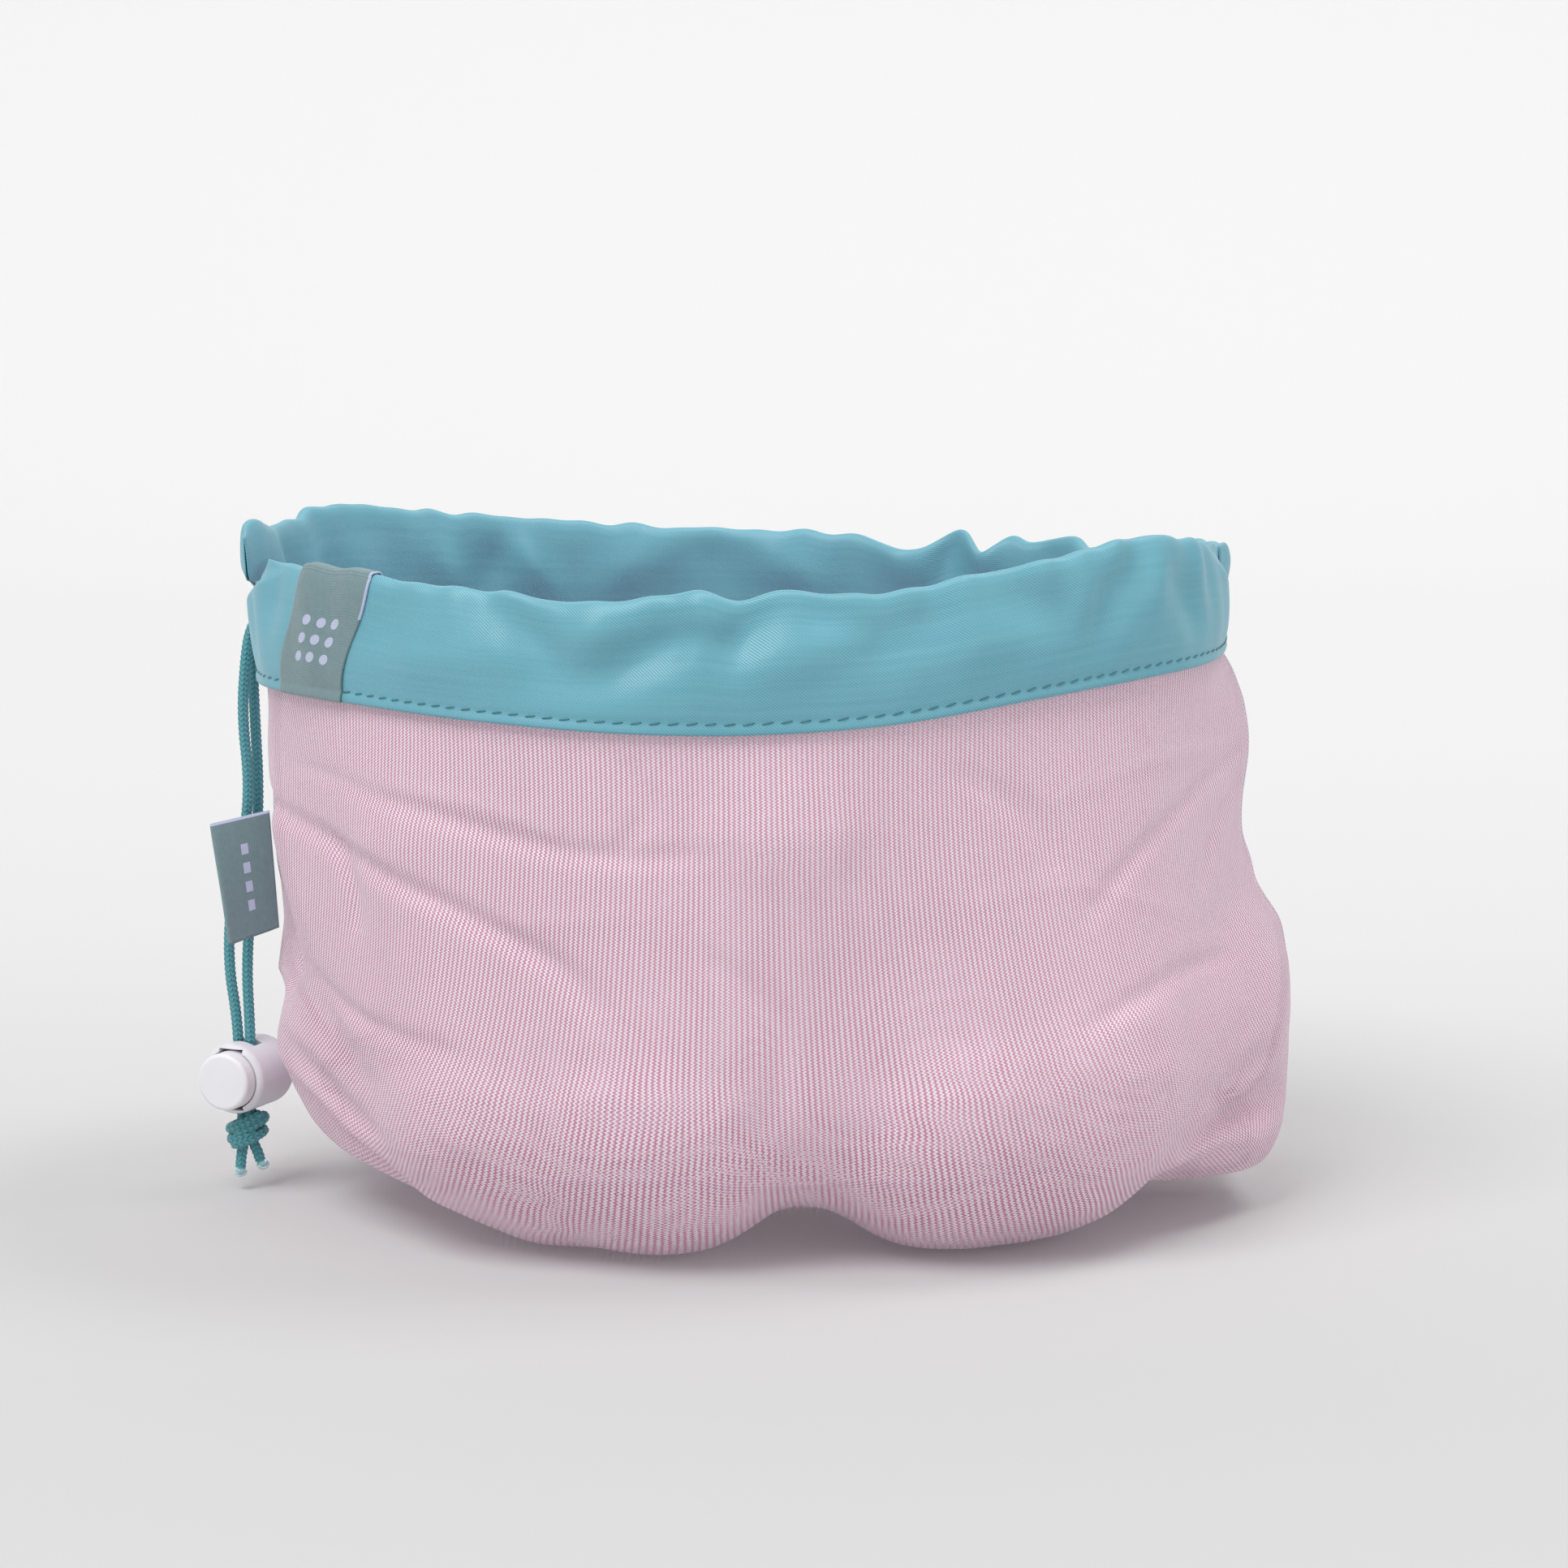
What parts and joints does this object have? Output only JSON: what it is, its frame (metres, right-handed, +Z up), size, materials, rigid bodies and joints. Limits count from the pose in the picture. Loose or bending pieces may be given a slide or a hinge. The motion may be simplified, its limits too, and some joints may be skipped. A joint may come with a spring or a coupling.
{
  "type": "mesh produce bag",
  "caption": "Drawstring net pouch standing open and filled out, with a folded satin channel round its mouth, woven labels, a knotted cord and a barrel cord lock.",
  "frame": {"origin": "on the surface the bag stands on, under the middle of the bottom seam", "axes": "+X along the bag's long side, away from the drawstring's exit; -Y towards the front, which carries the woven rim label; +Z up through the mouth"},
  "size_m": [0.2167, 0.1788, 0.1345],
  "materials": {
    "net": "fine knitted polyester net",
    "satin": "polyester satin twill",
    "thread": "polyester thread",
    "woven_tape": "woven tape",
    "cord": "knitted polyester cord",
    "melted_cord": "melted polyester",
    "lock_plastic": "matte white acetal",
    "spring_steel": "spring steel"
  },
  "bodies": {
    "bag": {"mesh_front_panel": "net", "mesh_back_panel": "net", "left_side_seam": "net", "right_side_seam": "net", "bottom_seam": "net", "channel_band_front": "satin", "channel_band_back": "satin", "channel_stitching": "thread", "rim_label": "woven_tape", "drawstring_loop": "cord"},
    "side_tag": {"side_tag": "woven_tape"},
    "drawstring_ends": {"drawstring_tail_front": "cord", "drawstring_tail_back": "cord", "drawstring_knot": "cord", "drawstring_end_front": "cord", "drawstring_end_back": "cord", "cord_tips": "melted_cord"},
    "cord_lock": {"cord_lock_housing": "lock_plastic", "cord_lock_spring": "spring_steel"},
    "lock_button": {"cord_lock_plunger": "lock_plastic"}
  },
  "joints": [
    {"name": "drawstring_swing", "type": "hinge", "parent": "bag", "child": "drawstring_ends", "pos_m": [-0.0972, 0, 0.1168], "axis": [0, 1, 0], "range_deg": [0, 75]},
    {"name": "cord_lock_slide", "type": "slide", "parent": "drawstring_ends", "child": "cord_lock", "axis": [-0.0995, 0, 0.995], "range_m": [0, 0.07], "deforming": ["side_tag", "drawstring_tail_front", "drawstring_tail_back"]},
    {"name": "lock_button_press", "type": "slide", "parent": "cord_lock", "child": "lock_button", "axis": [0.4226, 0.9063, 0], "range_m": [0, 0.0025], "stiffness_N_per_m": 300, "springref_m": -0.002, "deforming": ["cord_lock_spring"]},
    {"name": "side_tag_flap", "type": "hinge", "parent": "bag", "child": "side_tag", "pos_m": [-0.0955, -0.0034, 0], "axis": [0, 0, 1], "range_deg": [0, 70], "stiffness_Nm_per_rad": 0.0002}
  ]
}
